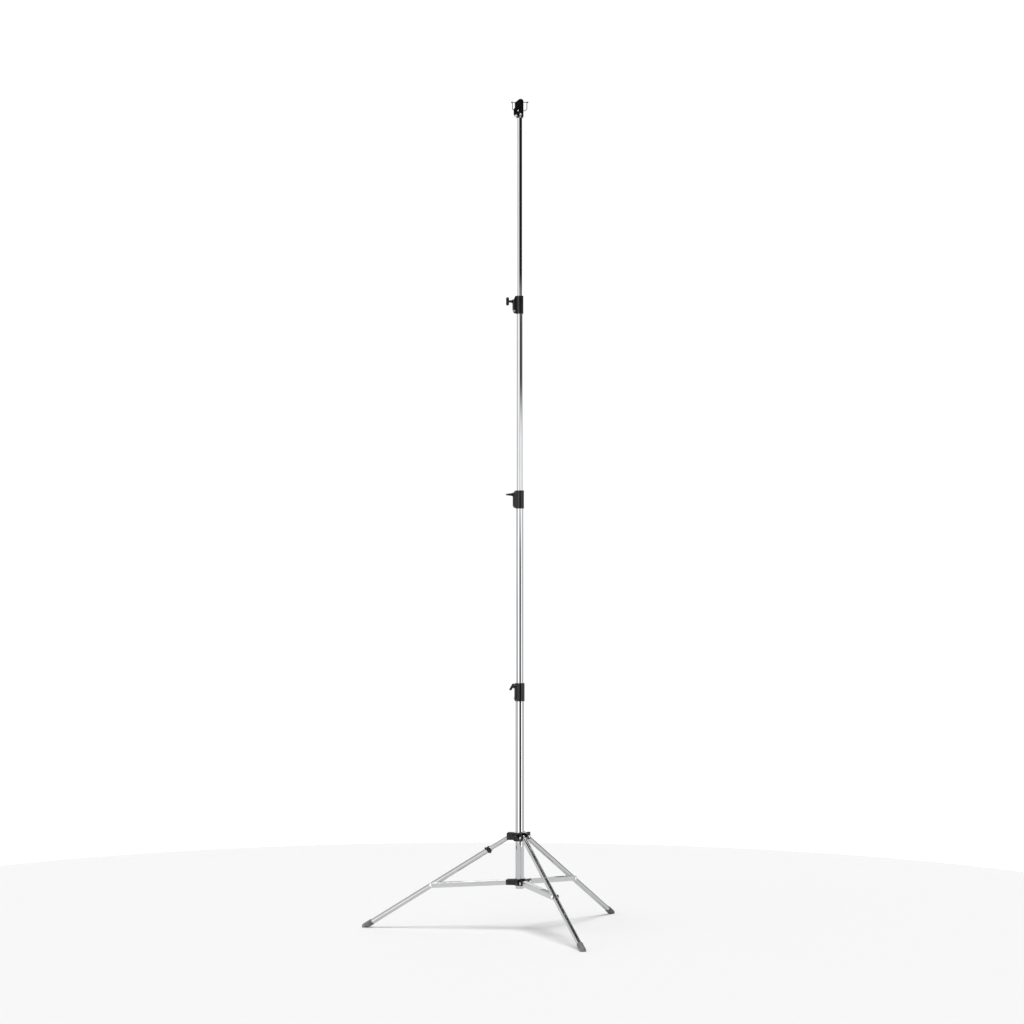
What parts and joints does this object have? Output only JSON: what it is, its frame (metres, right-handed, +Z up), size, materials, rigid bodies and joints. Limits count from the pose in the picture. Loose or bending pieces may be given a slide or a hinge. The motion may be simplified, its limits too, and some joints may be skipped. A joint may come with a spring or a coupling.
{
  "type": "lighting stand",
  "caption": "Tall telescoping lighting stand: round chrome column sections with clamp collars, a folding braced tripod base with a levelling leg, and a cast spigot-socket head with a wire bail.",
  "frame": {"origin": "centre of the footprint's bounding rectangle, on the floor; the column's axis stands at x = 0.160 m, y = 0, because one of the three legs points to -X", "axes": "+Z up along the column; -X along the levelling leg; the other two legs point to +X, 60 degrees each side"},
  "size_m": [0.9854, 1.134, 3.383],
  "materials": {
    "chrome_tube": "bright chrome-plated steel tube",
    "chrome_sheet": "chrome-plated folded steel sheet",
    "chrome_fastener": "chrome-plated fastener steel",
    "black_fastener": "blackened fastener steel and wire",
    "black_casting": "satin black powder coat on a casting",
    "knob_plastic": "moulded black plastic",
    "black_plastic": "moulded black plastic",
    "foot_rubber": "dark grey moulded rubber",
    "brass": "turned brass",
    "nylon": "natural nylon"
  },
  "bodies": {
    "base": {"base_tube": "chrome_tube", "base_plug": "black_plastic", "brace_hub": "black_casting", "hub_screws": "black_fastener", "brace_pivot_bolts": "chrome_fastener", "brace_pivot_nuts": "black_fastener", "lower_collar": "black_casting", "lower_collar_liner": "nylon", "lower_collar_screw": "chrome_fastener"},
    "leg_collar": {"leg_collar": "black_casting", "leg_collar_liner": "nylon", "leg_pivot_bolts": "chrome_fastener", "leg_pivot_nuts": "black_fastener"},
    "leg_1_inner": {"leg_1_inner_tube": "chrome_tube", "leg_1_glide": "nylon"},
    "leg_1_outer": {"leg_1_outer_tube": "chrome_tube", "leg_1_clamp": "black_casting", "leg_1_rivet": "chrome_fastener", "foot_1": "foot_rubber"},
    "brace_1": {"brace_1": "chrome_sheet", "brace_1_rivet_heads": "chrome_fastener"},
    "leg_2": {"leg_2_tube": "chrome_tube", "leg_2_rivet": "chrome_fastener", "foot_2": "foot_rubber"},
    "brace_2": {"brace_2": "chrome_sheet", "brace_2_rivet_heads": "chrome_fastener"},
    "leg_3": {"leg_3_tube": "chrome_tube", "leg_3_rivet": "chrome_fastener", "foot_3": "foot_rubber"},
    "brace_3": {"brace_3": "chrome_sheet", "brace_3_rivet_heads": "chrome_fastener"},
    "riser_1_guide": {"riser_1_bush": "nylon"},
    "riser_1": {"riser_1_tube": "chrome_tube", "middle_collar": "black_casting", "middle_collar_liner": "nylon", "middle_collar_screw": "chrome_fastener"},
    "riser_2_guide": {"riser_2_bush": "nylon"},
    "riser_2": {"riser_2_tube": "chrome_tube", "upper_collar": "black_casting", "upper_collar_liner": "nylon", "upper_collar_screw": "chrome_fastener"},
    "riser_3_guide": {"riser_3_bush": "nylon"},
    "riser_3": {"riser_3_tube": "chrome_tube", "head_body": "black_casting", "head_screws": "chrome_fastener", "bail_pins": "black_fastener"},
    "lower_shoe": {"lower_shoe": "brass"},
    "lower_knob": {"lower_knob": "knob_plastic"},
    "middle_shoe": {"middle_shoe": "brass"},
    "middle_knob": {"middle_knob": "knob_plastic"},
    "upper_shoe": {"upper_shoe": "brass"},
    "upper_knob": {"upper_knob": "knob_plastic"},
    "leg_collar_shoe": {"leg_collar_shoe": "brass"},
    "leg_collar_knob": {"leg_collar_knob": "knob_plastic"},
    "leg_1_shoe": {"leg_1_shoe": "brass"},
    "leg_1_knob": {"leg_1_knob": "knob_plastic"},
    "bail": {"wire_bail": "black_fastener"}
  },
  "joints": [
    {"name": "riser_1_slide", "type": "slide", "parent": "base", "child": "riser_1_guide", "axis": [0, 0, -1], "range_m": [0, 0.709]},
    {"name": "riser_1_swivel", "type": "hinge", "parent": "riser_1_guide", "child": "riser_1", "pos_m": [0.16, 0, 0.956], "axis": [0, 0, 1], "continuous": true},
    {"name": "riser_2_slide", "type": "slide", "parent": "riser_1", "child": "riser_2_guide", "axis": [0, 0, -1], "range_m": [0, 0.717]},
    {"name": "riser_2_swivel", "type": "hinge", "parent": "riser_2_guide", "child": "riser_2", "pos_m": [0.16, 0, 1.74], "axis": [0, 0, 1], "continuous": true},
    {"name": "riser_3_slide", "type": "slide", "parent": "riser_2", "child": "riser_3_guide", "axis": [0, 0, -1], "range_m": [0, 0.723]},
    {"name": "riser_3_swivel", "type": "hinge", "parent": "riser_3_guide", "child": "riser_3", "pos_m": [0.16, 0, 2.532], "axis": [0, 0, 1], "continuous": true},
    {"name": "leg_collar_slide", "type": "slide", "parent": "base", "child": "leg_collar", "axis": [0, 0, 1], "range_m": [0, 0.51368]},
    {"name": "leg_1_fold", "type": "hinge", "parent": "leg_collar", "child": "leg_1_inner", "pos_m": [0.117, 0, 0.379], "axis": [0, -1, 0], "range_deg": [0, 54.92]},
    {"name": "brace_1_fold", "type": "hinge", "parent": "base", "child": "brace_1", "pos_m": [0.113, 0, 0.195], "axis": [0, -1, 0], "range_deg": [-90.4, 0]},
    {"name": "leg_2_fold", "type": "hinge", "parent": "leg_collar", "child": "leg_2", "pos_m": [0.1815, -0.03724, 0.379], "axis": [0.866, 0.5, 0], "range_deg": [0, 54.92]},
    {"name": "brace_2_fold", "type": "hinge", "parent": "base", "child": "brace_2", "pos_m": [0.1835, -0.0407, 0.195], "axis": [0.866, 0.5, 0], "range_deg": [-90.4, 0]},
    {"name": "leg_3_fold", "type": "hinge", "parent": "leg_collar", "child": "leg_3", "pos_m": [0.1815, 0.03724, 0.379], "axis": [-0.866, 0.5, 0], "range_deg": [0, 54.92]},
    {"name": "brace_3_fold", "type": "hinge", "parent": "base", "child": "brace_3", "pos_m": [0.1835, 0.0407, 0.195], "axis": [-0.866, 0.5, 0], "range_deg": [-90.4, 0]},
    {"name": "leg_1_slide", "type": "slide", "parent": "leg_1_inner", "child": "leg_1_outer", "axis": [0.8471, 0, 0.5314], "range_m": [-0.15, 0]},
    {"name": "lower_shoe_slide", "type": "slide", "parent": "base", "child": "lower_shoe", "axis": [-0.5299, -0.848, 0], "range_m": [0, 0.00188]},
    {"name": "lower_knob_turn", "type": "hinge", "parent": "lower_shoe", "child": "lower_knob", "pos_m": [0.13721, -0.03647, 0.992], "axis": [-0.5299, -0.848, 0], "range_deg": [0, 540]},
    {"name": "middle_shoe_slide", "type": "slide", "parent": "riser_1", "child": "middle_shoe", "axis": [-0.8829, -0.4695, 0], "range_m": [0, 0.00188]},
    {"name": "middle_knob_turn", "type": "hinge", "parent": "middle_shoe", "child": "middle_knob", "pos_m": [0.12203, -0.02019, 1.773], "axis": [-0.8829, -0.4695, 0], "range_deg": [0, 540]},
    {"name": "upper_shoe_slide", "type": "slide", "parent": "riser_2", "child": "upper_shoe", "axis": [-0.9781, -0.2079, 0], "range_m": [0, 0.00188]},
    {"name": "upper_knob_turn", "type": "hinge", "parent": "upper_shoe", "child": "upper_knob", "pos_m": [0.11794, -0.00894, 2.559], "axis": [-0.9781, -0.2079, 0], "range_deg": [0, 540]},
    {"name": "leg_collar_shoe_slide", "type": "slide", "parent": "leg_collar", "child": "leg_collar_shoe", "axis": [-0.3746, -0.9272, 0], "range_m": [0, 0.00188]},
    {"name": "leg_collar_knob_turn", "type": "hinge", "parent": "leg_collar_shoe", "child": "leg_collar_knob", "pos_m": [0.14464, -0.03802, 0.384], "axis": [-0.3746, -0.9272, 0], "range_deg": [0, 540]},
    {"name": "leg_1_shoe_slide", "type": "slide", "parent": "leg_1_outer", "child": "leg_1_shoe", "axis": [0, -1, 0], "range_m": [0, 0.00188]},
    {"name": "leg_1_knob_turn", "type": "hinge", "parent": "leg_1_shoe", "child": "leg_1_knob", "pos_m": [0.03356, 0, 0.32666], "axis": [0, -1, 0], "range_deg": [0, 540]},
    {"name": "bail_swing", "type": "hinge", "parent": "riser_3", "child": "bail", "pos_m": [0.16, 0, 3.3695], "axis": [0.9903, 0.1392, 0], "range_deg": [0, 300]}
  ],
  "couplings": [
    {"joint": "leg_1_fold", "follows": "leg_collar_slide", "rad_per_m": 1.8653},
    {"joint": "brace_1_fold", "follows": "leg_collar_slide", "rad_per_m": -3.0707},
    {"joint": "leg_2_fold", "follows": "leg_collar_slide", "rad_per_m": 1.8653},
    {"joint": "brace_2_fold", "follows": "leg_collar_slide", "rad_per_m": -3.0707},
    {"joint": "leg_3_fold", "follows": "leg_collar_slide", "rad_per_m": 1.8653},
    {"joint": "brace_3_fold", "follows": "leg_collar_slide", "rad_per_m": -3.0707},
    {"joint": "lower_shoe_slide", "follows": "lower_knob_turn", "m_per_rad": 0.00019894},
    {"joint": "middle_shoe_slide", "follows": "middle_knob_turn", "m_per_rad": 0.00019894},
    {"joint": "upper_shoe_slide", "follows": "upper_knob_turn", "m_per_rad": 0.00019894},
    {"joint": "leg_collar_shoe_slide", "follows": "leg_collar_knob_turn", "m_per_rad": 0.00019894},
    {"joint": "leg_1_shoe_slide", "follows": "leg_1_knob_turn", "m_per_rad": 0.00019894}
  ]
}
